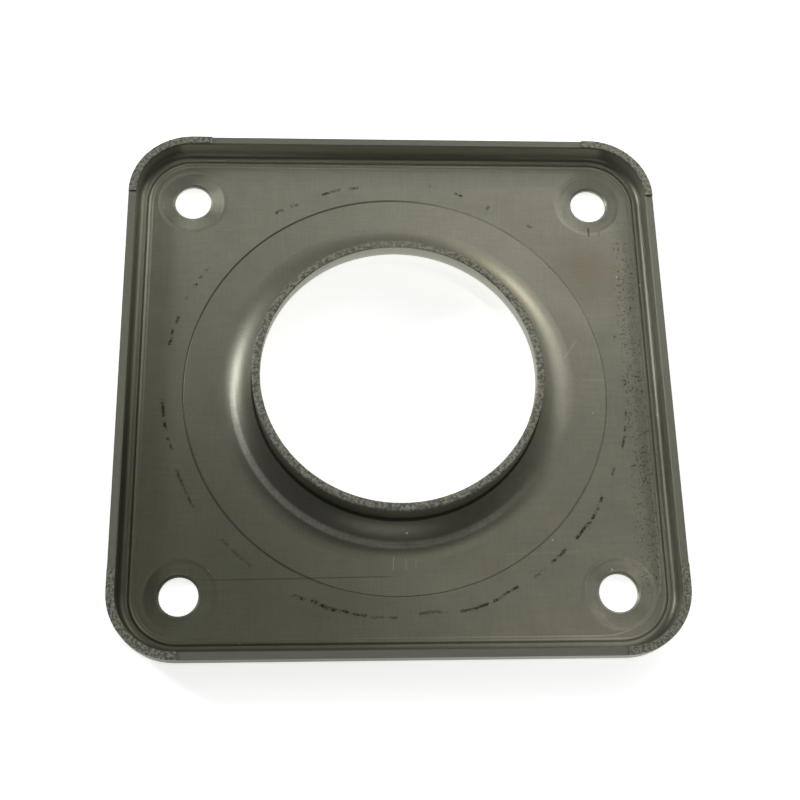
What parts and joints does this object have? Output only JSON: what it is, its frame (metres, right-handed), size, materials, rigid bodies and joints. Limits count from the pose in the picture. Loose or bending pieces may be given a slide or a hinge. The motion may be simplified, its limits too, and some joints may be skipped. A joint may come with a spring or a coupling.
{
  "type": "tube base flange",
  "caption": "Square pressed-steel base flange with an upstanding rim, bolt holes and a flared neck that takes a round tube.",
  "frame": {"origin": "on the flat back face, on the axis of the neck", "axes": "+Z along the neck's axis, away from the flat back; X and Y square to the rim's sides"},
  "size_m": [0.124, 0.124, 0.0138],
  "materials": {
    "bare_steel": "bare cold-rolled steel sheet, dull olive grey, rubbed bright on edges, with dark draw marks and small pits"
  },
  "bodies": {
    "root": {"base_flange": "bare_steel"}
  },
  "joints": []
}
